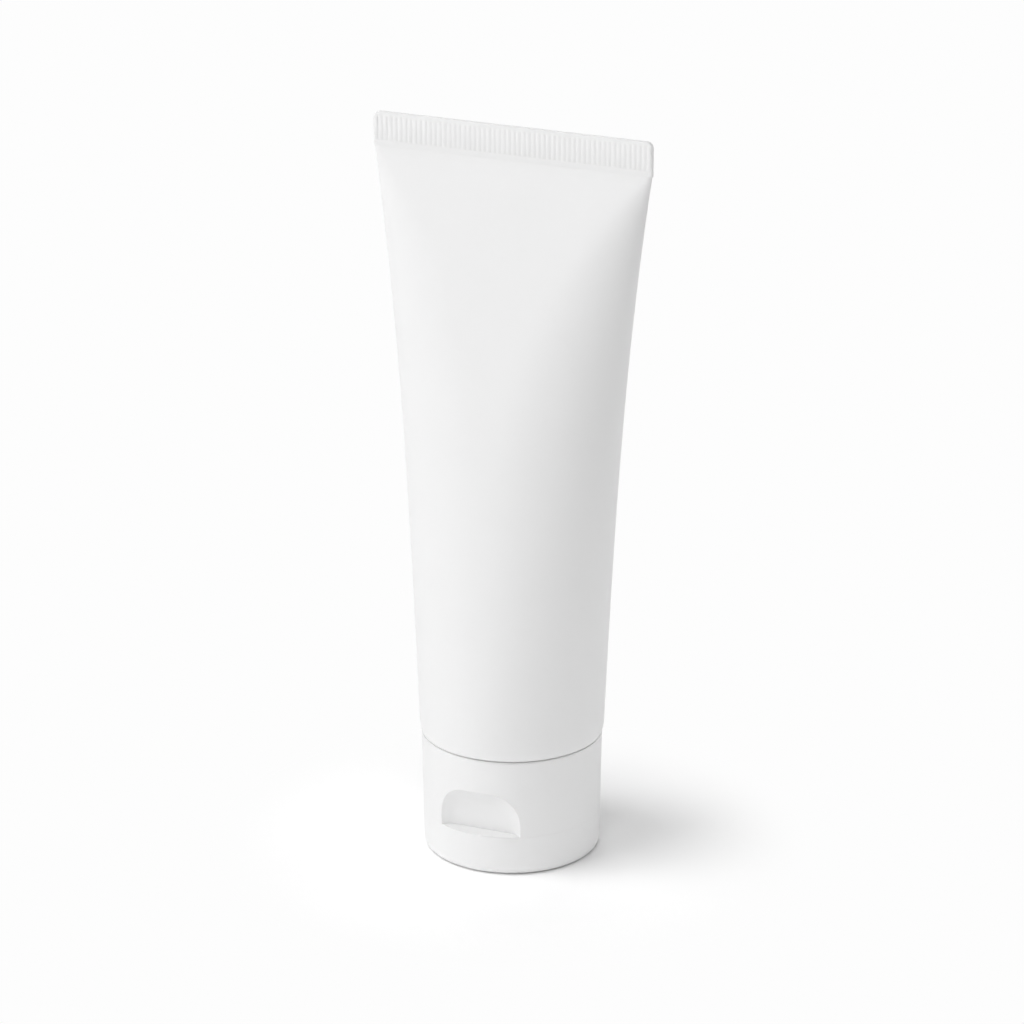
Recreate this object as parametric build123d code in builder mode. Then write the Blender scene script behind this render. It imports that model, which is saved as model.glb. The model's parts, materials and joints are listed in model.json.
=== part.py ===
import os
from math import asin, cos, degrees, pi, radians, sqrt, tan

from build123d import *

# A plastic cream tube with a flip-top cap. It stands on its closed lid.
# The origin is the middle of the lid's flat face and +Z runs up the tube's axis.
# X runs along the crimped end and the thumb recess of the cap faces -Y.

# Tube sleeve
tube_diameter = 40.0
tube_wall = 0.5
sleeve_length = 127.3
curl_height = 2.8
curl_radius = 10.0
curl_sections = 4
flare_line_share = 0.64
end_stretch_line = 0.6
end_stretch_square = 0.7
round_end_straight = 0.04
section_shares = (0, 0.08, 0.2, 0.35, 0.5, 0.65, 0.8, 0.9, 0.96, 1)
weld_depth = 2.0

# Crimped end
crimp_height = 7.4
crimp_thickness = 0.9
crimp_corner_radius = 1.5
crimp_side_margin = 0.1
crimp_rim_height = 0.9
rib_length = 5.2
rib_pitch = 1.12
rib_radius = 0.65
crimp_bead_height = 0.8
crimp_bead_thickness = 1.15

# Moulded head, with its shoulder and neck
rim_width = 1.0
shoulder_angle = 30.0
shoulder_wall = 1.2
spigot_height = 1.2
neck_diameter = 20.0
neck_wall = 1.6
neck_bead = 0.45
neck_bead_height = 1.6
neck_bead_offset = 2.6

# Cap, its two halves together
cap_height = 26.5
cap_step = 0.9
cap_draft = 1.0
cap_wall = 1.2
cap_top_radius = 0.3
seam_gap = 0.3

# Cap base
deck_thickness = 1.3
socket_wall = 1.2
socket_gap = 1.3
web_count = 8
web_thickness = 0.9
web_height = 5.7
collar_height = 1.8
collar_wall = 1.1
nozzle_height = 3.6
nozzle_foot_diameter = 10.0
nozzle_tip_diameter = 8.4
nozzle_tip_radius = 0.5
orifice_diameter = 5.0

# Thumb recess in the front of the cap base
recess_depth = 3.55
recess_width = 21.8
recess_height = 10.1
recess_corner_radius = 8.0
recess_cove_radius = 4.9

# Lid
lid_height = 9.0
lid_floor = 1.3
lid_edge_radius = 1.8
lid_inner_radius = 0.8
land_margin = 0.6
plug_bore = 2.4
plug_engagement = 2.0
plug_tip_radius = 0.6

# Film hinge at the back of the cap
hinge_flat_depth = 0.7
hinge_flat_height = 7.0
film_thickness = 0.35
film_inner_radius = 0.3
film_width = 9.0

# Clearances
socket_clearance = 0.15
spigot_clearance = 0.15
collar_clearance = 0.2
plug_clearance = 0.35
fill_clearance = 0.15

# Heights of the main planes
sleeve_foot = cap_height + seam_gap
loft_foot = sleeve_foot + curl_height
crimp_foot = sleeve_foot + sleeve_length
tube_top = crimp_foot + crimp_height
deck_top = lid_height + deck_thickness

tube_radius = tube_diameter / 2
flat_width = pi * tube_radius
curl_centre = tube_radius - curl_radius
cavity_end = 1 - weld_depth / (crimp_foot - loft_foot)


def cap_radius(height):
    """Outer radius of the cap, which widens upwards by its draft."""
    return tube_radius - cap_step + height * tan(radians(cap_draft))


rim_plane_radius = cap_radius(lid_height)
recess_back = recess_depth - rim_plane_radius
hinge_flat = rim_plane_radius - hinge_flat_depth
land_back = recess_back + land_margin
lid_back_wall = hinge_flat - cap_wall


def half_width(share):
    """Half width of the sleeve at a share of its height, from round to laid flat."""
    flare = flare_line_share * share + (1 - flare_line_share) * share**3
    return tube_radius + (flat_width / 2 - crimp_side_margin - tube_radius) * flare


def end_aspect(share):
    """Width of a section's rounded end in half depths: 1 at the round end, more towards the flat one."""
    return 1 + end_stretch_line * share + end_stretch_square * share**2


def girth(a, b):
    """Length round an ellipse with these half axes, by Ramanujan's formula."""
    h = ((a - b) / (a + b)) ** 2
    return pi * (a + b) * (1 + 3 * h / (10 + sqrt(4 - 3 * h)))


def half_depth(share):
    """Half depth of the sleeve. It keeps the girth, as film neither stretches nor shrinks."""
    aspect = end_aspect(share)
    spare_girth = pi * tube_diameter - 4 * half_width(share)
    return max(spare_girth / (girth(aspect, 1) - 4 * aspect), tube_wall)


def half_straight(share):
    """Half length of the straight front and back of a section, next to nothing at the round end."""
    return max(half_width(share) - end_aspect(share) * half_depth(share), round_end_straight / 2)


def loft_through(sections):
    """A body through sections of straight front and back with half ellipses for ends, given with heights."""
    with BuildPart() as body:
        for height, straight, end_width, depth in sections:
            with BuildSketch(Plane.XY.offset(height)):
                with BuildLine():
                    Line((-straight, -depth), (straight, -depth))
                    EllipticalCenterArc((straight, 0), end_width, depth, -90, arc_size=180)
                    Line((straight, depth), (-straight, depth))
                    EllipticalCenterArc((-straight, 0), end_width, depth, 90, arc_size=180)
                make_face()
        loft()
    return body.part


def section(share, inset):
    """Half straight length, end width and half depth of the sleeve's section, drawn in by an inset."""
    straight = half_straight(share)
    return straight, half_width(share) - straight - inset, half_depth(share) - inset


def sleeve_form(inset, shares):
    """The sleeve above its curl, drawn in by an inset."""
    rise = crimp_foot - loft_foot
    return loft_through([(loft_foot + share * rise, *section(share, inset)) for share in shares])


def curl_form(inset):
    """The rounded lower edge of the sleeve, drawn in by an inset, from its foot upwards."""
    sections = []
    for step in range(curl_sections + 1):
        drop = curl_height * (1 - step / curl_sections)
        turn_in = curl_radius - sqrt((curl_radius - inset) ** 2 - drop**2)
        sections.append((loft_foot - drop, *section(0, turn_in)))
    return loft_through(sections)


def curl_arc(inset):
    """Profile of the rounded lower edge, drawn in by an inset, from its foot upwards."""
    radius = curl_radius - inset
    start = degrees(asin(curl_height / radius))
    return CenterArc((curl_centre, loft_foot), radius, -start, start)


def chord_disc(radius, front, back):
    """A disc with a straight front and a straight back edge."""
    Circle(radius)
    with Locations((0, (front + back) / 2)):
        Rectangle(3 * radius, back - front, mode=Mode.INTERSECT)


def recess_block(wall):
    """The thumb recess as a block with a flat back and coved sides, grown by a wall."""
    below = recess_cove_radius + wall
    with BuildPart() as block:
        with BuildSketch(Plane.XZ.offset(-recess_back - wall)) as outline:
            with Locations((0, lid_height + (recess_height + wall - below) / 2)):
                Rectangle(recess_width + 2 * wall, recess_height + wall + below)
            top = outline.vertices().group_by(Axis.Y)[-1]
            fillet(top, recess_corner_radius + wall)
        extrude(amount=recess_depth + recess_cove_radius + wall)
        back_face = block.faces().sort_by(Axis.Y)[-1]
        fillet(back_face.edges(), recess_cove_radius + wall)
    return block.part


# The room inside the sleeve
with BuildPart() as sleeve_cavity:
    add(sleeve_form(tube_wall, section_shares[:-1] + (cavity_end,)))
    add(curl_form(tube_wall))

# Extruded sleeve, welded flat at its end
with BuildPart() as tube_sleeve:
    add(sleeve_form(0, section_shares))
    add(curl_form(0))
    # The welded band, with rounded top corners
    with BuildSketch(Plane.XZ) as band:
        with Locations((0, crimp_foot + crimp_height / 2)):
            Rectangle(flat_width, crimp_height)
        fillet(band.vertices().group_by(Axis.Y)[-1], crimp_corner_radius)
    extrude(amount=crimp_thickness / 2, both=True)
    # The smooth bead at the foot of the band
    with BuildSketch(Plane.XY.offset(crimp_foot)):
        Rectangle(flat_width - 2 * crimp_side_margin, crimp_bead_thickness)
    extrude(amount=crimp_bead_height)
    # The upright ribs that the welding jaws press into both faces
    rib_count = int(flat_width / rib_pitch)
    with BuildSketch(Plane.XY.offset(tube_top - crimp_rim_height)):
        with GridLocations(rib_pitch, 0, rib_count, 1):
            Circle(rib_radius)
    extrude(amount=-rib_length)
    add(sleeve_cavity.part, mode=Mode.SUBTRACT)
tube_sleeve.part.label = "tube_sleeve"
export_step(tube_sleeve.part, "parts/tube_sleeve.step")

neck_radius = neck_diameter / 2
bore_radius = neck_radius - neck_wall
spigot_radius = cap_radius(cap_height) - cap_wall - spigot_clearance
spigot_foot = sleeve_foot - spigot_height
slope = tan(radians(shoulder_angle))
neck_root = spigot_foot - (spigot_radius - neck_radius) * slope
cone_rise = shoulder_wall / cos(radians(shoulder_angle))
rim_inner = tube_radius - tube_wall - rim_width
bead_foot = deck_top + neck_bead_offset
socket_top = neck_root - socket_gap


def inner_cone(radius):
    """Height of the shoulder's inner face at a radius."""
    return spigot_foot + cone_rise - (spigot_radius - radius) * slope


# Head: a rim that the sleeve is welded over, a sloping shoulder and a snap-on neck
with BuildPart() as tube_head:
    with BuildSketch(Plane.XZ):
        with BuildLine():
            curve = curl_arc(tube_wall)
            Polyline(
                curve @ 1,
                (rim_inner, loft_foot),
                (rim_inner, inner_cone(rim_inner)),
                (bore_radius, inner_cone(bore_radius)),
                (bore_radius, deck_top),
                (neck_radius, deck_top),
                (neck_radius, bead_foot),
                (neck_radius + neck_bead, bead_foot + neck_bead),
                (neck_radius + neck_bead, bead_foot + neck_bead_height - neck_bead),
                (neck_radius, bead_foot + neck_bead_height),
                (neck_radius, neck_root),
                (spigot_radius, spigot_foot),
                (spigot_radius, sleeve_foot),
                curve @ 0,
            )
        make_face()
    revolve(axis=Axis.Z)
tube_head.part.label = "tube_head"
export_step(tube_head.part, "parts/tube_head.step")

# Cream: it fills the sleeve, the shoulder and the neck
with BuildPart() as cream_fill:
    fill_end = cavity_end - fill_clearance / (crimp_foot - loft_foot)
    add(sleeve_form(tube_wall + fill_clearance, section_shares[:-1] + (fill_end,)))
    with BuildSketch(Plane.XZ):
        shoulder_fill = rim_inner - fill_clearance
        neck_fill = bore_radius - fill_clearance
        lift = fill_clearance / cos(radians(shoulder_angle))
        with BuildLine():
            Polyline(
                (0, loft_foot),
                (shoulder_fill, loft_foot),
                (shoulder_fill, inner_cone(shoulder_fill) + lift),
                (neck_fill, inner_cone(neck_fill) + lift),
                (neck_fill, deck_top + fill_clearance),
                (0, deck_top + fill_clearance),
                close=True,
            )
        make_face()
    revolve(axis=Axis.Z)
cream_fill.part.label = "cream_fill"
export_step(cream_fill.part, "parts/cream_fill.step")

# The flat at the back of the cap that the film hinge lies in, with sloping ends
with BuildPart() as hinge_window:
    with BuildSketch(Plane.YZ):
        run_out = 2 * hinge_flat_depth
        reach = hinge_flat_height / 2
        with BuildLine():
            Polyline(
                (hinge_flat, lid_height - reach),
                (hinge_flat + run_out, lid_height - reach - run_out),
                (hinge_flat + run_out, lid_height + reach + run_out),
                (hinge_flat, lid_height + reach),
                close=True,
            )
        make_face()
    extrude(amount=film_width, both=True)

# The hollow of the cap base, which leaves a wall round the thumb recess
with BuildPart() as base_hollow:
    with BuildSketch(Plane.XZ):
        with BuildLine():
            Polyline(
                (0, deck_top),
                (cap_radius(deck_top) - cap_wall, deck_top),
                (cap_radius(cap_height) - cap_wall, cap_height),
                (0, cap_height),
                close=True,
            )
        make_face()
    revolve(axis=Axis.Z)
    add(recess_block(cap_wall), mode=Mode.SUBTRACT)

socket_radius = neck_radius + socket_clearance

# Cap base: skirt, deck, socket on the neck, webs, nozzle and the collar that the lid closes on
with BuildPart() as cap_base:
    with BuildSketch(Plane.XZ) as skirt:
        with BuildLine():
            Polyline(
                (0, lid_height),
                (cap_radius(lid_height), lid_height),
                (cap_radius(cap_height), cap_height),
                (0, cap_height),
                close=True,
            )
        make_face()
        top_corner = skirt.vertices().sort_by(Axis.Y)[-2:].sort_by(Axis.X)[-1]
        fillet(top_corner, cap_top_radius)
    revolve(axis=Axis.Z)
    add(base_hollow.part, mode=Mode.SUBTRACT)
    # Socket and webs
    with BuildSketch(Plane.XY.offset(deck_top)):
        Circle(socket_radius + socket_wall)
    extrude(amount=socket_top - deck_top)
    with BuildSketch(Plane.XY.offset(deck_top)):
        web_reach = cap_radius(deck_top) - cap_wall / 2
        with PolarLocations(web_reach / 2, web_count, start_angle=180 / web_count):
            Rectangle(web_reach, web_thickness)
    extrude(amount=web_height)
    add(recess_block(0), mode=Mode.SUBTRACT)
    add(hinge_window.part, mode=Mode.SUBTRACT)
    # The socket's bore, with the groove that the neck's bead snaps into
    with BuildSketch(Plane.XZ):
        with BuildLine():
            Polyline(
                (0, deck_top),
                (socket_radius, deck_top),
                (socket_radius, bead_foot),
                (socket_radius + neck_bead, bead_foot + neck_bead),
                (socket_radius + neck_bead, bead_foot + neck_bead_height - neck_bead),
                (socket_radius, bead_foot + neck_bead_height),
                (socket_radius, socket_top),
                (0, socket_top),
                close=True,
            )
        make_face()
    revolve(axis=Axis.Z, mode=Mode.SUBTRACT)
    # The collar under the deck
    with BuildSketch(Plane.XY.offset(lid_height)):
        collar_radius = rim_plane_radius - cap_wall - collar_clearance
        collar_front = land_back + collar_clearance
        collar_back = lid_back_wall - collar_clearance
        chord_disc(collar_radius, collar_front, collar_back)
    extrude(amount=-collar_height)
    with BuildSketch(Plane.XY.offset(lid_height)):
        chord_disc(collar_radius - collar_wall, collar_front + collar_wall, collar_back - collar_wall)
    extrude(amount=-collar_height, mode=Mode.SUBTRACT)
    # The nozzle and its orifice
    with BuildSketch(Plane.XZ) as nozzle:
        with BuildLine():
            Polyline(
                (0, lid_height),
                (nozzle_foot_diameter / 2, lid_height),
                (nozzle_tip_diameter / 2, lid_height - nozzle_height),
                (0, lid_height - nozzle_height),
                close=True,
            )
        make_face()
        tip_corner = nozzle.vertices().sort_by(Axis.Y)[:2].sort_by(Axis.X)[-1]
        fillet(tip_corner, nozzle_tip_radius)
    revolve(axis=Axis.Z)
    with BuildSketch(Plane.XY.offset(lid_height - nozzle_height)):
        Circle(orifice_diameter / 2)
    extrude(amount=nozzle_height + deck_thickness, mode=Mode.SUBTRACT)
cap_base.part.label = "cap_base"
export_step(cap_base.part, "parts/cap_base.step")

# The hollow of the lid, straight behind the thumb land and before the hinge flat
with BuildPart() as lid_hollow:
    with BuildSketch(Plane.XY.offset(lid_height)):
        chord_disc(rim_plane_radius - cap_wall, land_back, lid_back_wall)
    extrude(amount=lid_floor - lid_height, taper=cap_draft)
    fillet(lid_hollow.faces().sort_by(Axis.Z)[0].edges(), lid_inner_radius)

plug_radius = orifice_diameter / 2 - plug_clearance
plug_tip = lid_height - nozzle_height + plug_engagement

# Lid: a flat-faced cup with a plug for the orifice
with BuildPart() as cap_lid:
    with BuildSketch(Plane.XZ) as shell:
        with BuildLine():
            Polyline(
                (0, 0),
                (cap_radius(0), 0),
                (cap_radius(lid_height), lid_height),
                (0, lid_height),
                close=True,
            )
        make_face()
        foot_corner = shell.vertices().sort_by(Axis.Y)[:2].sort_by(Axis.X)[-1]
        fillet(foot_corner, lid_edge_radius)
    revolve(axis=Axis.Z)
    add(lid_hollow.part, mode=Mode.SUBTRACT)
    add(hinge_window.part, mode=Mode.SUBTRACT)
    with BuildSketch(Plane.XZ) as plug:
        with BuildLine():
            Polyline(
                (plug_bore / 2, lid_floor / 2),
                (plug_radius, lid_floor / 2),
                (plug_radius, plug_tip),
                (plug_bore / 2, plug_tip),
                close=True,
            )
        make_face()
        plug_corner = plug.vertices().sort_by(Axis.Y)[-2:].sort_by(Axis.X)[-1]
        fillet(plug_corner, plug_tip_radius)
    revolve(axis=Axis.Z)
cap_lid.part.label = "cap_lid"
export_step(cap_lid.part, "parts/cap_lid.step")

# Film hinge: thin strap folded round the pivot line, from the base's flat to the lid's
with BuildPart() as hinge_film:
    with BuildSketch(Plane.YZ):
        with Locations((hinge_flat, lid_height)):
            Circle(film_inner_radius + film_thickness)
            Circle(film_inner_radius, mode=Mode.SUBTRACT)
        with Locations((hinge_flat, lid_height)):
            Rectangle(
                2 * film_inner_radius + 2 * film_thickness,
                3 * (film_inner_radius + film_thickness),
                align=(Align.MIN, Align.CENTER),
                mode=Mode.INTERSECT,
            )
    extrude(amount=film_width / 2, both=True)
hinge_film.part.label = "hinge_film"
export_step(hinge_film.part, "parts/hinge_film.step")
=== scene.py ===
# %% [markdown]
# # A white cream tube on its flip-top cap
#
# The object is a soft plastic tube of 40 mm diameter that stands on its closed cap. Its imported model
# is the fixed frame of this scene. The moulded pieces of it stay and get a finish. The sleeve, the
# cream and the film hinge are modelled again, because real film has pressed ribs, soft edges and a
# thin, bending strap.

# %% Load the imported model
import json
import math

import bpy
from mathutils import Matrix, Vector


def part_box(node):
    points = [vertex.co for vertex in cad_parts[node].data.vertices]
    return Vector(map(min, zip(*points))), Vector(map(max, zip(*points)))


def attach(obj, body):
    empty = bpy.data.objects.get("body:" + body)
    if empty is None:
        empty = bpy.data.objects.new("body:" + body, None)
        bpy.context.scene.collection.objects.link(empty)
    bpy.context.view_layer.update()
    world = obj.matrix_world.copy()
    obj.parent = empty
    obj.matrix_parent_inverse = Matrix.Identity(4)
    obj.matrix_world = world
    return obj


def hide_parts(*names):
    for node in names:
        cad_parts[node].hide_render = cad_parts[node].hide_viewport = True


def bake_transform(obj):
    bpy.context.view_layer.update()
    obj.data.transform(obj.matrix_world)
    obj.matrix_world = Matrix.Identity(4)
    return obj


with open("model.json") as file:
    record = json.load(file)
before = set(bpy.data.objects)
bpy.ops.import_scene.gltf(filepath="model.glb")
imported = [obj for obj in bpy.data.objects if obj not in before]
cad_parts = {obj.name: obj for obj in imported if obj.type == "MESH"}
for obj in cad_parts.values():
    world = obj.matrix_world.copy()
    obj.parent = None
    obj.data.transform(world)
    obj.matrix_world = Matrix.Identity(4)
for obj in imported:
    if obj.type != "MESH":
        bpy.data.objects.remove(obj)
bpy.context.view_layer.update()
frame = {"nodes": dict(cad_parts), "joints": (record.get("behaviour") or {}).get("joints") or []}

print("nodes:", sorted(frame["nodes"]))
bpy.context.scene.view_settings.view_transform = "Standard"

# %% [markdown]
# ## The camera
#
# A long lens far from a small pack keeps its sides nearly parallel, as a product photographer does.
# The tube is turned about 23 degrees from the camera, which looks down on it by 20 degrees.

# %% Camera
azimuth = math.radians(23.32)
elevation = math.radians(20.36)
distance = 0.9671
target = Vector((0, 0, 0.0764))


def direction(turn, rise):
    """Unit vector at an angle round the tube, from the front, and above the horizon."""
    return Vector((math.sin(turn) * math.cos(rise), -math.cos(turn) * math.cos(rise), math.sin(rise)))


towards_camera = direction(azimuth, elevation)
bpy.ops.object.select_all(action="DESELECT")
bpy.ops.object.camera_add(location=target + distance * towards_camera)
camera = bpy.context.object
camera.name = "camera"
camera.data.sensor_width = 36
camera.data.lens = 159.47
camera.rotation_euler = towards_camera.to_track_quat("Z", "Y").to_euler()
bpy.context.scene.camera = camera
print("camera at", [round(v, 3) for v in camera.location])

# %% [markdown]
# ## Colours and nodes
#
# Colours are written as sRGB hex values, as a plastics chart gives them, and turned to linear in one
# place. One small function adds a shader node with its settings and its links.


# %% Helpers for colours and nodes
def linear(hex_colour):
    """sRGB hex to a linear colour with alpha."""
    values = [int(hex_colour[i:i + 2], 16) / 255 for i in (1, 3, 5)]
    return [v / 12.92 if v <= 0.04045 else ((v + 0.055) / 1.055) ** 2.4 for v in values] + [1]


def node(tree, kind, inputs=None, **settings):
    """A new node. An input is a value, or another node's output to link from."""
    made = tree.nodes.new("ShaderNode" + kind)
    for name, value in settings.items():
        setattr(made, name, value)
    for name, value in (inputs or {}).items():
        if isinstance(value, bpy.types.NodeSocket):
            tree.links.new(value, made.inputs[name])
        else:
            made.inputs[name].default_value = value
    return made


def new_material(name):
    """An empty material with its node tree."""
    material = bpy.data.materials.new(name)
    material.use_nodes = True
    material.node_tree.nodes.clear()
    return material, material.node_tree


print("mid grey is", [round(v, 3) for v in linear("#808080")])

# %% [markdown]
# ## Floor and background
#
# The tube stands on a white paper sweep, which takes its soft shadow. Such a picture is retouched to
# an even white away from the pack. Here the paper does that itself: to the camera, and in
# reflections, it turns from lit paper to plain white between 2.5 and 6.5 cm from the tube's axis. To
# all other rays it is paper, so the white puts no light on the tube. The world does the same: the
# camera sees it plain white, and everything else gets a weak, even light from it.

# %% Floor
bpy.ops.object.select_all(action="DESELECT")
bpy.ops.mesh.primitive_plane_add(size=8)
floor = bpy.context.object
floor.name = "floor"

sweep, tree = new_material("white_paper_sweep")
place = node(tree, "TexCoord")
radius = node(tree, "VectorMath", {0: place.outputs["Object"]}, operation="LENGTH")
reach = {"Value": radius.outputs["Value"], "From Min": 0.025, "From Max": 0.065}
fade = node(tree, "MapRange", reach, interpolation_type="SMOOTHSTEP")
paper = node(tree, "BsdfDiffuse", {"Color": linear("#f4f4f4")})
even_white = node(tree, "Emission", {"Color": linear("#fdfdfd"), "Strength": 1})
faded = node(tree, "MixShader", {0: fade.outputs[0], 1: paper.outputs[0], 2: even_white.outputs[0]})
rays = node(tree, "LightPath")
clear_sight = {0: rays.outputs["Is Camera Ray"], 1: rays.outputs["Is Glossy Ray"]}
seen = node(tree, "Math", clear_sight, operation="MAXIMUM")
shown = node(tree, "MixShader", {0: seen.outputs[0], 1: paper.outputs[0], 2: faded.outputs[0]})
node(tree, "OutputMaterial", {"Surface": shown.outputs[0]})
floor.data.materials.append(sweep)

# %% World
world = bpy.data.worlds.new("studio_white")
bpy.context.scene.world = world
world.use_nodes = True
tree = world.node_tree
tree.nodes.clear()
ambient = node(tree, "Background", {"Color": linear("#ffffff"), "Strength": 0.1})
backdrop = node(tree, "Background", {"Color": linear("#fdfdfd"), "Strength": 1.0})
rays = node(tree, "LightPath")
clear_sight = {0: rays.outputs["Is Camera Ray"], 1: rays.outputs["Is Transmission Ray"]}
seen = node(tree, "Math", clear_sight, operation="MAXIMUM")
mixed = node(tree, "MixShader", {0: seen.outputs[0], 1: ambient.outputs[0], 2: backdrop.outputs[0]})
node(tree, "OutputWorld", {"Surface": mixed.outputs[0]})
print("stage:", floor.name, world.name)

# %% [markdown]
# ## Light
#
# A wide lamp at the left models the round form, and one in front, above the camera, fills it and
# lights the ledge of the thumb recess. A weak one at the front left softens what lies between, and
# another right overhead lights the edge of the weld. One behind at the right lights that side, and
# one behind lights the back. A dark card stands at the right, as in a studio: it takes light away
# from that side and draws a darker edge on the white plastic. A smaller lamp high at the left lights
# the paper alone. It gives the short, clear shadow at the right, which the wide lamps would blur.


# %% Lamps
lamp_distance = 1.5


def soft_lamp(name, turn, rise, size, power):
    """A square area lamp that points at the tube: degrees round and above it, metres, watts."""
    towards = direction(math.radians(turn), math.radians(rise))
    bpy.ops.object.select_all(action="DESELECT")
    bpy.ops.object.light_add(type="AREA", location=target + lamp_distance * towards)
    lamp = bpy.context.object
    lamp.name = name
    lamp.data.size = size
    lamp.data.energy = power
    lamp.rotation_euler = towards.to_track_quat("Z", "Y").to_euler()
    print(name, "at", [round(v, 2) for v in lamp.location])
    return lamp


soft_lamp("left_lamp", -66.7, 30, 0.9, 7.7)
soft_lamp("front_left_lamp", -25, 20, 0.9, 3.0)
soft_lamp("front_lamp", 23, 45, 0.9, 6.8)
soft_lamp("top_lamp", 0, 88, 0.9, 4.5)
soft_lamp("rim_lamp", 135, 15, 0.9, 5.4)
soft_lamp("back_lamp", -157, 35, 0.9, 4.5)
paper_lamp = soft_lamp("paper_lamp", -46, 65, 0.6, 7.7)
paper_alone = bpy.data.collections.new("paper_alone")
paper_alone.objects.link(floor)
paper_lamp.light_linking.receiver_collection = paper_alone

# %% Dark card
card_place = (0.42, -0.12, 0.16)
card_turn = (0, math.radians(-90), math.radians(10))
bpy.ops.object.select_all(action="DESELECT")
bpy.ops.mesh.primitive_plane_add(size=1, location=card_place, rotation=card_turn)
card = bpy.context.object
card.name = "dark_card"
card.scale = (0.32, 0.4, 1)
card.visible_camera = False
card_paint, tree = new_material("dark_card")
card_face = node(tree, "BsdfDiffuse", {"Color": linear("#202020")})
node(tree, "OutputMaterial", {"Surface": card_face.outputs[0]})
card.data.materials.append(card_paint)
print("card at", card_place)

# %% [markdown]
# ## Finish of the sleeve
#
# The sleeve is extruded low-density polyethylene. Its skin is satin, slightly waxy and a little
# translucent. The extruder's die leaves faint streaks along the tube, and the film has a shallow
# orange peel of 2 to 3 mm. Both are bump and a small change of gloss. The real streaks are about 0.2
# mm apart and are drawn at 0.8 mm here, because finer ones don't show in the render.


# %% Polyethylene of the sleeve
def extruded_polyethylene():
    """Extruded low-density polyethylene, white."""
    material, tree = new_material("extruded_white_polyethylene")
    place = node(tree, "TexCoord")
    along = node(tree, "Mapping", {"Vector": place.outputs["Object"], "Scale": (1, 1, 0.02)})
    point = place.outputs["Object"]
    streaks = node(tree, "TexNoise", {"Vector": along.outputs[0], "Scale": 1250, "Detail": 2})
    peel = node(tree, "TexNoise", {"Vector": point, "Scale": 400, "Detail": 3, "Roughness": 0.45})
    cloud = node(tree, "TexNoise", {"Vector": point, "Scale": 45, "Detail": 2})
    whites = {0: cloud.outputs["Fac"], 6: linear("#f3f3f3"), 7: linear("#f6f6f6")}
    tint = node(tree, "Mix", whites, data_type="RGBA")
    gloss = node(tree, "MapRange", {"Value": peel.outputs["Fac"], "To Min": 0.38, "To Max": 0.5})
    fine = {"Height": streaks.outputs["Fac"], "Strength": 0.25, "Distance": 0.00002}
    streaked = node(tree, "Bump", fine)
    coarse = {"Height": peel.outputs["Fac"], "Strength": 0.3, "Distance": 0.00006}
    peeled = node(tree, "Bump", {**coarse, "Normal": streaked.outputs[0]})
    colour = {"Base Color": tint.outputs[2], "Roughness": gloss.outputs[0], "IOR": 1.51}
    skin = node(tree, "BsdfPrincipled", {**colour, "Normal": peeled.outputs[0]})
    node(tree, "OutputMaterial", {"Surface": skin.outputs[0]})
    return material


polyethylene = extruded_polyethylene()
print("finish:", polyethylene.name)

# %% [markdown]
# ## Finish of the cap
#
# Cap and lid are injection-moulded polypropylene. The mould is spark-eroded, which leaves an even
# fine grain of about 0.2 mm, drawn at 0.35 mm so that it shows. The grain scatters the light, so the
# cap looks a little duller and more even than the sleeve. Moulded edges are never sharp, so a bevel
# node rounds them by 0.18 mm.


# %% Polypropylene of the cap
def moulded_polypropylene(name, light, dark):
    """Moulded polypropylene with a spark-eroded grain."""
    material, tree = new_material(name)
    place = node(tree, "TexCoord")
    point = place.outputs["Object"]
    grain = node(tree, "TexNoise", {"Vector": point, "Scale": 2800, "Detail": 2, "Roughness": 0.6})
    flow = node(tree, "TexNoise", {"Vector": point, "Scale": 70, "Detail": 2})
    whites = {0: flow.outputs["Fac"], 6: linear(dark), 7: linear(light)}
    tint = node(tree, "Mix", whites, data_type="RGBA")
    gloss = node(tree, "MapRange", {"Value": grain.outputs["Fac"], "To Min": 0.42, "To Max": 0.56})
    rounded = node(tree, "Bevel", {"Radius": 0.00018}, samples=6)
    pits = {"Height": grain.outputs["Fac"], "Strength": 0.35, "Distance": 0.00002}
    grained = node(tree, "Bump", {**pits, "Normal": rounded.outputs[0]})
    colour = {"Base Color": tint.outputs[2], "Roughness": gloss.outputs[0], "IOR": 1.49}
    skin = node(tree, "BsdfPrincipled", {**colour, "Normal": grained.outputs[0]})
    node(tree, "OutputMaterial", {"Surface": skin.outputs[0]})
    return material


polypropylene = moulded_polypropylene("spark_eroded_white_polypropylene", "#f6f6f6", "#f3f3f3")
head_plastic = moulded_polypropylene("moulded_natural_polyethylene", "#f2f2ee", "#ececea")
finishes = {"cap_base": polypropylene, "cap_lid": polypropylene, "tube_head": head_plastic}
for name, finish in finishes.items():
    moulded = frame["nodes"][name]
    moulded.data.materials.clear()
    moulded.data.materials.append(finish)
    print(name, "gets", finish.name)

# %% [markdown]
# ## Form of the sleeve
#
# The sleeve is round at its foot and laid flat at its welded end. Film neither stretches nor shrinks,
# so every section has the same girth. Each one is a straight front and back between two half
# ellipses. Towards the flat end the straights grow and the ends shrink, which gives the flat,
# V-shaped face on the front and a cone at each side of it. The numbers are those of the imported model,
# in metres.

# %% Sizes and sections of the sleeve
tube_radius = 0.020
tube_wall = 0.0005
sleeve_foot = 0.0268
loft_foot = 0.0296
crimp_foot = 0.1541
tube_top = 0.1615
weld_depth = 0.002
cavity_end = crimp_foot - weld_depth
curl_radius = 0.010
# A round section has this hardly measurable straight, so that it grows like the flat ones.
round_straight = 0.00002
crimp_width = math.pi * tube_radius
side_margin = 0.0001
flare_line_share = 0.64
end_stretch_line, end_stretch_square = 0.6, 0.7


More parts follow.
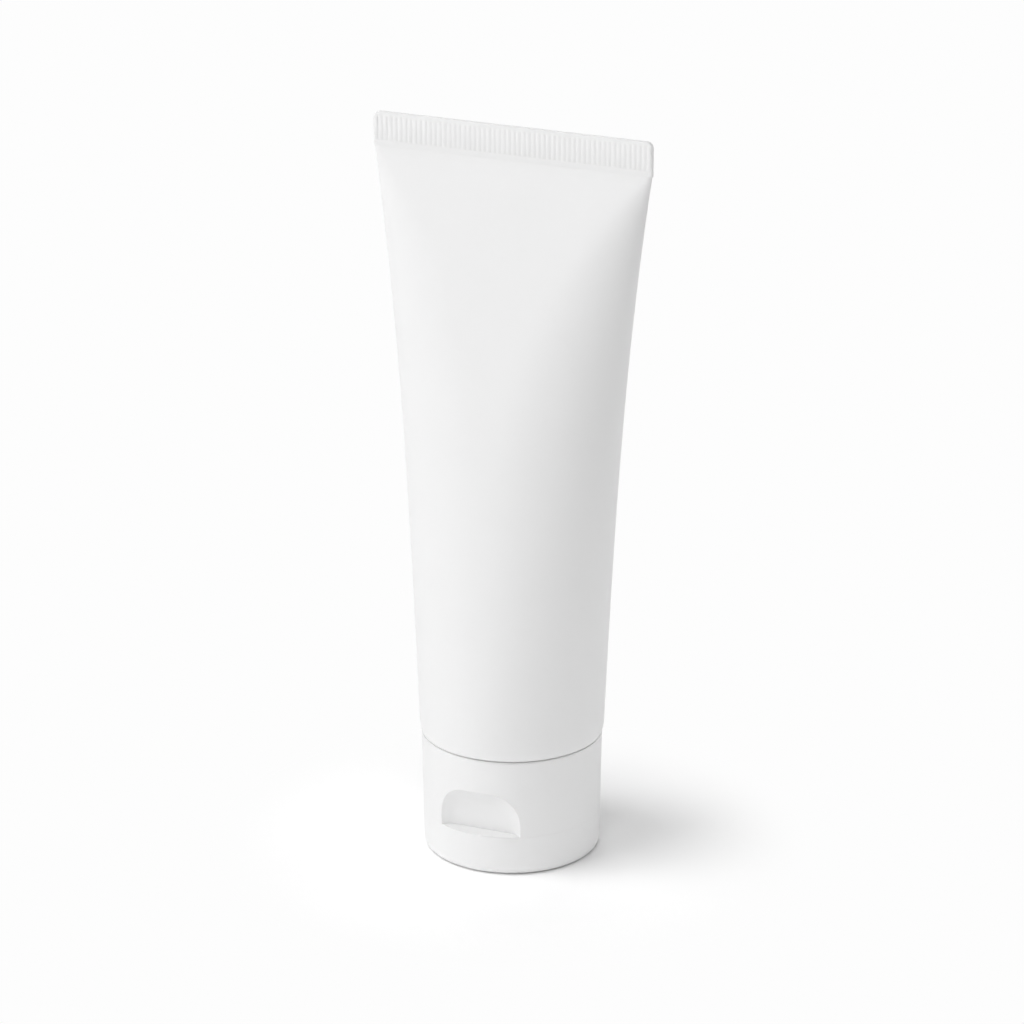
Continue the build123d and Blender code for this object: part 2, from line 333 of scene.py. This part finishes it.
def girth(a, b):
    """Length round an ellipse with these half axes, by Ramanujan's formula."""
    h = ((a - b) / (a + b)) ** 2
    return math.pi * (a + b) * (1 + 3 * h / (10 + math.sqrt(4 - 3 * h)))


def section(height, inset=0.0):
    """Height, half straight length, end width and half depth of the sleeve, drawn in by an inset."""
    share = min(max((height - loft_foot) / (crimp_foot - loft_foot), 0), 1)
    flare = flare_line_share * share + (1 - flare_line_share) * share**3
    half_width = tube_radius + (crimp_width / 2 - side_margin - tube_radius) * flare
    aspect = 1 + end_stretch_line * share + end_stretch_square * share**2
    spare_girth = 2 * math.pi * tube_radius - 4 * half_width
    half_depth = max(spare_girth / (girth(aspect, 1) - 4 * aspect), tube_wall)
    straight = max(half_width - aspect * half_depth, round_straight)
    drop = max(loft_foot - height, 0)
    turn_in = curl_radius - math.sqrt((curl_radius - inset) ** 2 - drop**2)
    return height, straight, half_width - straight - turn_in, half_depth - turn_in


print("section at mid height in mm:", [round(v * 1000, 2) for v in section(0.09)])

# %% [markdown]
# ## Growing a body ring by ring
#
# The sleeve could be lofted, but in Blender a half ellipse that is extruded, moved and scaled again
# and again gives the same form with clean rows of quads. The two ends of the half ellipse are kept in
# a vertex group, so that the straight sides can be drawn from them to the middle plane at the end. A
# mirror makes the other half. Along the sleeve the row of rings goes down its inner face, round the
# lip at its foot and up its outer face, so the film gets its real wall of half a millimetre.


# %% Tools for selecting and growing
def pick(piece, kind, test):
    """Selects, in edit mode, the vertices, edges or faces whose corners pass the test."""
    bpy.ops.mesh.select_mode(type={"vertices": "VERT", "edges": "EDGE", "polygons": "FACE"}[kind])
    bpy.ops.mesh.select_all(action="DESELECT")
    bpy.ops.object.mode_set(mode="OBJECT")
    points = piece.data.vertices
    found = 0
    for item in getattr(piece.data, kind):
        corners = [item.co] if kind == "vertices" else [points[i].co for i in item.vertices]
        if test(corners):
            item.select = True
            found += 1
    bpy.ops.object.mode_set(mode="EDIT")
    return found


def grow_body(name, steps, rings):
    """A closed body through rings of (height, half straight length, end width, half depth)."""
    height, straight, width, depth = rings[0]
    bpy.ops.object.select_all(action="DESELECT")
    bpy.ops.mesh.primitive_circle_add(vertices=2 * steps, radius=width, location=(straight, 0, height))
    piece = bpy.context.object
    piece.name = name
    bpy.ops.object.transform_apply(location=True)
    bpy.ops.object.mode_set(mode="EDIT")
    pick(piece, "vertices", lambda corners: corners[0].x < straight - 1e-6)
    bpy.ops.mesh.delete(type="VERT")
    pick(piece, "vertices", lambda corners: corners[0].x < straight + 1e-6)
    bpy.ops.object.vertex_group_assign_new()
    bpy.ops.mesh.select_all(action="SELECT")
    bpy.ops.transform.resize(value=(1, depth / width, 1), center_override=(straight, 0, height))
    for next_height, next_straight, next_width, next_depth in rings[1:]:
        step = (next_straight - straight, 0, next_height - height)
        growth = (next_width / width, next_depth / depth, 1)
        bpy.ops.mesh.extrude_region_move(TRANSFORM_OT_translate={"value": step})
        bpy.ops.transform.resize(value=growth, center_override=(next_straight, 0, next_height))
        height, straight, width, depth = next_height, next_straight, next_width, next_depth
    bpy.ops.mesh.select_all(action="DESELECT")
    bpy.ops.object.vertex_group_select()
    for share_left in (0.7, 0):
        bpy.ops.mesh.extrude_region_move()
        bpy.ops.transform.resize(value=(share_left, 1, 1), center_override=(0, 0, 0))
    bpy.ops.object.mode_set(mode="OBJECT")
    piece.vertex_groups.clear()
    mirror = piece.modifiers.new("other_half", "MIRROR")
    mirror.merge_threshold = 1e-6
    bpy.ops.object.modifier_apply(modifier=mirror.name)
    bpy.ops.object.mode_set(mode="EDIT")
    bpy.ops.mesh.select_all(action="SELECT")
    bpy.ops.mesh.fill_holes(sides=0)
    bpy.ops.mesh.select_all(action="SELECT")
    bpy.ops.mesh.normals_make_consistent(inside=False)
    bpy.ops.object.mode_set(mode="OBJECT")
    print(name, "has", len(piece.data.polygons), "faces")
    return piece


# %% Film of the sleeve
lower_steps = [0.0272 + 0.0004 * i for i in range(6)]
upper_steps = [loft_foot + 0.0012 * i for i in range(1, 104)]
outer_heights = lower_steps + upper_steps + [crimp_foot + 0.0002]
inner_steps = [0.1445 - 0.005 * i for i in range(23)]
inner_heights = [cavity_end, 0.1505, 0.1480] + inner_steps + [loft_foot, 0.0282]
foot_radius = section(sleeve_foot)[2]
lip_steps = [(0, -tube_wall), (0, -0.00018), (0.00004, -0.00006), (0.00014, 0.00001)]
lip = []
for up, out in lip_steps:
    lip_radius = foot_radius + out
    lip.append((sleeve_foot + up, round_straight, lip_radius, lip_radius))
inner_face = [section(z, tube_wall) for z in inner_heights]
outer_face = [section(z) for z in outer_heights]
film = grow_body("squeeze_sleeve", 64, inner_face + lip + outer_face)

# %% [markdown]
# ## The welded end
#
# Hot jaws press the end of the sleeve flat and weld it. They leave a smooth bead at the foot of the
# weld and a row of upright ribs, 1.12 mm apart, on both faces, and the end is trimmed with round
# corners. The band starts as a block. Its corners and edges are bevelled, and planes cut it into
# strips. The panel that carries the ribs is drawn outwards, then the flanks and crest of every rib,
# and the crest of the bead.

# %% Band of the weld
crimp_thickness = 0.0009
crimp_height = tube_top - crimp_foot
corner_radius, edge_radius = 0.0015, 0.00014
band_middle = (0, 0, crimp_foot + crimp_height / 2)
band_size = (crimp_width, crimp_thickness, crimp_height)
bpy.ops.object.select_all(action="DESELECT")
bpy.ops.mesh.primitive_cube_add(size=1, location=band_middle, scale=band_size)
band = bpy.context.object
band.name = "welded_band"
bpy.ops.object.transform_apply(location=True, scale=True)
bpy.ops.object.mode_set(mode="EDIT")


def top_corner(corners):
    """Is this edge one of the two short ones at the top, through the band's thickness?"""
    at_top = min(c.z for c in corners) > tube_top - 1e-5
    return at_top and abs(corners[0].x - corners[1].x) < 1e-5


pick(band, "edges", top_corner)
bpy.ops.mesh.bevel(offset=corner_radius, segments=8, affect="EDGES")
pick(band, "edges", lambda corners: abs(corners[0].y - corners[1].y) < 1e-6)
bpy.ops.mesh.bevel(offset=edge_radius, segments=3, affect="EDGES")
print("band in mm:", [round(v * 1000, 2) for v in band_size])

# %% Ribs and bead
rib_pitch = 0.00112
rib_count = int(crimp_width / rib_pitch)
rib_centres = [(i - (rib_count - 1) / 2) * rib_pitch for i in range(rib_count)]
rib_low, rib_high = tube_top - 0.0061, tube_top - 0.0009
rib_slope = 0.00022
panel_low, panel_high = rib_low + 0.0002, rib_high - 0.0002
panel_rise, rib_rise, bead_rise = 0.00006, 0.00011, 0.00012
bead_low, bead_crest, bead_high = (crimp_foot + up for up in (0.0001, 0.0002, 0.001))
rib_cuts = [rib_low, rib_low + rib_slope, rib_high - rib_slope, rib_high]
cuts_across = rib_cuts + [bead_low, bead_crest, bead_high]
rib_offsets = (-0.00045, -0.0003, -0.0001, 0.0001, 0.0003, 0.00045)
cuts_up = [centre + offset for centre in rib_centres for offset in rib_offsets]
flank_reach, crest_reach = 0.00032, 0.00012
flank_share = 0.75
face_margin = 0.0003
for x in cuts_up:
    bpy.ops.mesh.select_all(action="SELECT")
    bpy.ops.mesh.bisect(plane_co=(x, 0, 0), plane_no=(1, 0, 0))
for z in cuts_across:
    bpy.ops.mesh.select_all(action="SELECT")
    bpy.ops.mesh.bisect(plane_co=(0, 0, z), plane_no=(0, 0, 1))


def middle(corners):
    """Mean of a face's corners."""
    return sum(corners, Vector()) / len(corners)


def on_face(corners, side, low, high):
    """Is this face on one side of the band, between two heights and off the band's edges?"""
    centre = middle(corners)
    outside = side * centre.y > crimp_thickness / 2 - 2e-5
    return outside and low < centre.z < high and abs(centre.x) < crimp_width / 2 - face_margin


def on_rib(corners, side, reach):
    """Is this face also within a reach of a rib's middle line, and between the ribs' ends?"""
    beside = (middle(corners).x / rib_pitch + (rib_count - 1) / 2) % 1 * rib_pitch
    near_line = min(beside, rib_pitch - beside) < reach
    return near_line and on_face(corners, side, panel_low, panel_high)


for side in (-1, 1):
    pick(band, "polygons", lambda corners: on_face(corners, side, panel_low, panel_high))
    bpy.ops.transform.translate(value=(0, side * panel_rise, 0))
    pick(band, "polygons", lambda corners: on_rib(corners, side, flank_reach))
    bpy.ops.transform.translate(value=(0, side * rib_rise * flank_share, 0))
    found = pick(band, "polygons", lambda corners: on_rib(corners, side, crest_reach))
    bpy.ops.transform.translate(value=(0, side * rib_rise * (1 - flank_share), 0))
    print("rib faces on side", side, ":", found)
    pick(band, "polygons", lambda corners: on_face(corners, side, bead_low, bead_crest))
    bpy.ops.transform.translate(value=(0, side * bead_rise, 0))
bpy.ops.mesh.select_all(action="SELECT")
bpy.ops.mesh.normals_make_consistent(inside=False)
bpy.ops.object.mode_set(mode="OBJECT")
print("band:", len(band.data.polygons), "faces")

# %% [markdown]
# ## One sleeve
#
# Film and weld are one piece of plastic, so they are joined. Smooth shading up to 50 degrees keeps
# the ribs soft and the lip at the foot crisp.

# %% Join, finish and place the sleeve
bpy.ops.object.select_all(action="DESELECT")
band.select_set(True)
film.select_set(True)
bpy.context.view_layer.objects.active = film
bpy.ops.object.join()
sleeve = bpy.context.object
bpy.ops.object.shade_smooth_by_angle(angle=math.radians(50))
sleeve.data.materials.clear()
sleeve.data.materials.append(polyethylene)
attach(sleeve, "tube")
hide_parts("tube_sleeve")
print("sleeve:", len(sleeve.data.polygons), "faces")

# %% [markdown]
# ## The cream
#
# The cream fills sleeve, shoulder and neck. It shows only through the orifice when the lid is open,
# as a small soft dome. It is an emulsion: ivory white, glossy when fresh, and light goes some way
# into it.

# %% Finish of the cream
cream_finish, tree = new_material("white_emulsion_cream")
place = node(tree, "TexCoord")
folds = {"Vector": place.outputs["Object"], "Scale": 300, "Detail": 3, "Distortion": 0.6}
swirl = node(tree, "TexNoise", folds)
ivories = {0: swirl.outputs["Fac"], 6: linear("#f4ede0"), 7: linear("#fbf6ec")}
tint = node(tree, "Mix", ivories, data_type="RGBA")
rippled = node(tree, "Bump", {"Height": swirl.outputs["Fac"], "Strength": 0.4, "Distance": 0.0001})
depth_of_light = {"Subsurface Weight": 0.3, "Subsurface Radius": (0.002, 0.0016, 0.0012)}
colour = {"Base Color": tint.outputs[2], "Roughness": 0.24, "IOR": 1.4}
emulsion = node(tree, "BsdfPrincipled", {**colour, **depth_of_light, "Normal": rippled.outputs[0]})
node(tree, "OutputMaterial", {"Surface": emulsion.outputs[0]})
print("finish:", cream_finish.name)

# %% Body of the cream
fill_low, fill_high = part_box("cream_fill")
# The cream keeps this distance from the sleeve's outer face: the film's wall and 0.15 mm more.
clearance = 0.00065
# Heights and radii from the dome in the orifice, through the neck, to the shoulder.
neck = [
    (0.0100, 0.0008),
    (0.0101, 0.0016),
    (0.0103, 0.0021),
    (fill_low.z, 0.0023),
    (fill_low.z, 0.00825),
    (0.0237, 0.00825),
    (0.0288, 0.0166),
]
fill_heights = [loft_foot] + [0.034 + 0.006 * i for i in range(20)] + [fill_high.z]
neck_rings = [(z, round_straight, r, r) for z, r in neck]
cream = grow_body("cream", 48, neck_rings + [section(z, clearance) for z in fill_heights])
bpy.ops.object.shade_smooth_by_angle(angle=math.radians(50))
cream.data.materials.append(cream_finish)
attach(cream, "tube")
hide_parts("cream_fill")
print("cream from", round(fill_low.z * 1000, 2), "to", round(fill_high.z * 1000, 2), "mm")

# %% [markdown]
# ## The film hinge
#
# Base and lid are moulded in one with a strap a third of a millimetre thick between them. Folding
# turns the plastic whiter and glossier along the bend. The strap is a flat profile spun half round
# the hinge line.

# %% Strap of the hinge
hinge_line = Vector(frame["joints"][0]["pos_m"])
strap_width, strap_inner, strap_wall = 0.009, 0.0003, 0.00035
profile_middle = hinge_line + Vector((0, 0, strap_inner + strap_wall / 2))
upright = (math.radians(90), 0, 0)
bpy.ops.object.select_all(action="DESELECT")
bpy.ops.mesh.primitive_plane_add(size=1, location=profile_middle, rotation=upright)
strap = bpy.context.object
strap.name = "hinge_strap"
strap.scale = (strap_width, strap_wall, 1)
bpy.ops.object.transform_apply(location=True, rotation=True, scale=True)
bpy.ops.object.mode_set(mode="EDIT")
bpy.ops.mesh.select_all(action="SELECT")
bpy.ops.mesh.subdivide(number_cuts=4)
bpy.ops.mesh.spin(steps=20, angle=math.pi, center=hinge_line, axis=(1, 0, 0))
bpy.ops.mesh.select_all(action="SELECT")
bpy.ops.mesh.remove_doubles(threshold=0.000002)
bpy.ops.mesh.normals_make_consistent(inside=False)
bpy.ops.object.mode_set(mode="OBJECT")
bpy.ops.object.shade_smooth_by_angle(angle=math.radians(50))
spans = [sorted(v.co[i] * 1000 for v in strap.data.vertices) for i in range(3)]
print("strap in mm:", [(round(span[0], 2), round(span[-1], 2)) for span in spans])

# %% Finish of the strap
bent_finish, tree = new_material("folded_polypropylene_strap")
place = node(tree, "TexCoord")
grain = node(tree, "TexNoise", {"Vector": place.outputs["Object"], "Scale": 2800, "Detail": 2})
fold = node(tree, "Mapping", {"Vector": place.outputs["Object"], "Scale": (0.1, 1, 1)})
creases = node(tree, "TexNoise", {"Vector": fold.outputs[0], "Scale": 6000, "Detail": 2})
whites = {0: grain.outputs["Fac"], 6: linear("#f5f5f5"), 7: linear("#fafafa")}
tint = node(tree, "Mix", whites, data_type="RGBA")
creased = node(tree, "Bump", {"Height": creases.outputs["Fac"], "Strength": 0.4, "Distance": 0.00003})
colour = {"Base Color": tint.outputs[2], "Roughness": 0.34, "IOR": 1.49}
bent = node(tree, "BsdfPrincipled", {**colour, "Normal": creased.outputs[0]})
node(tree, "OutputMaterial", {"Surface": bent.outputs[0]})
strap.data.materials.append(bent_finish)
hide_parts("hinge_film")
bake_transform(strap)
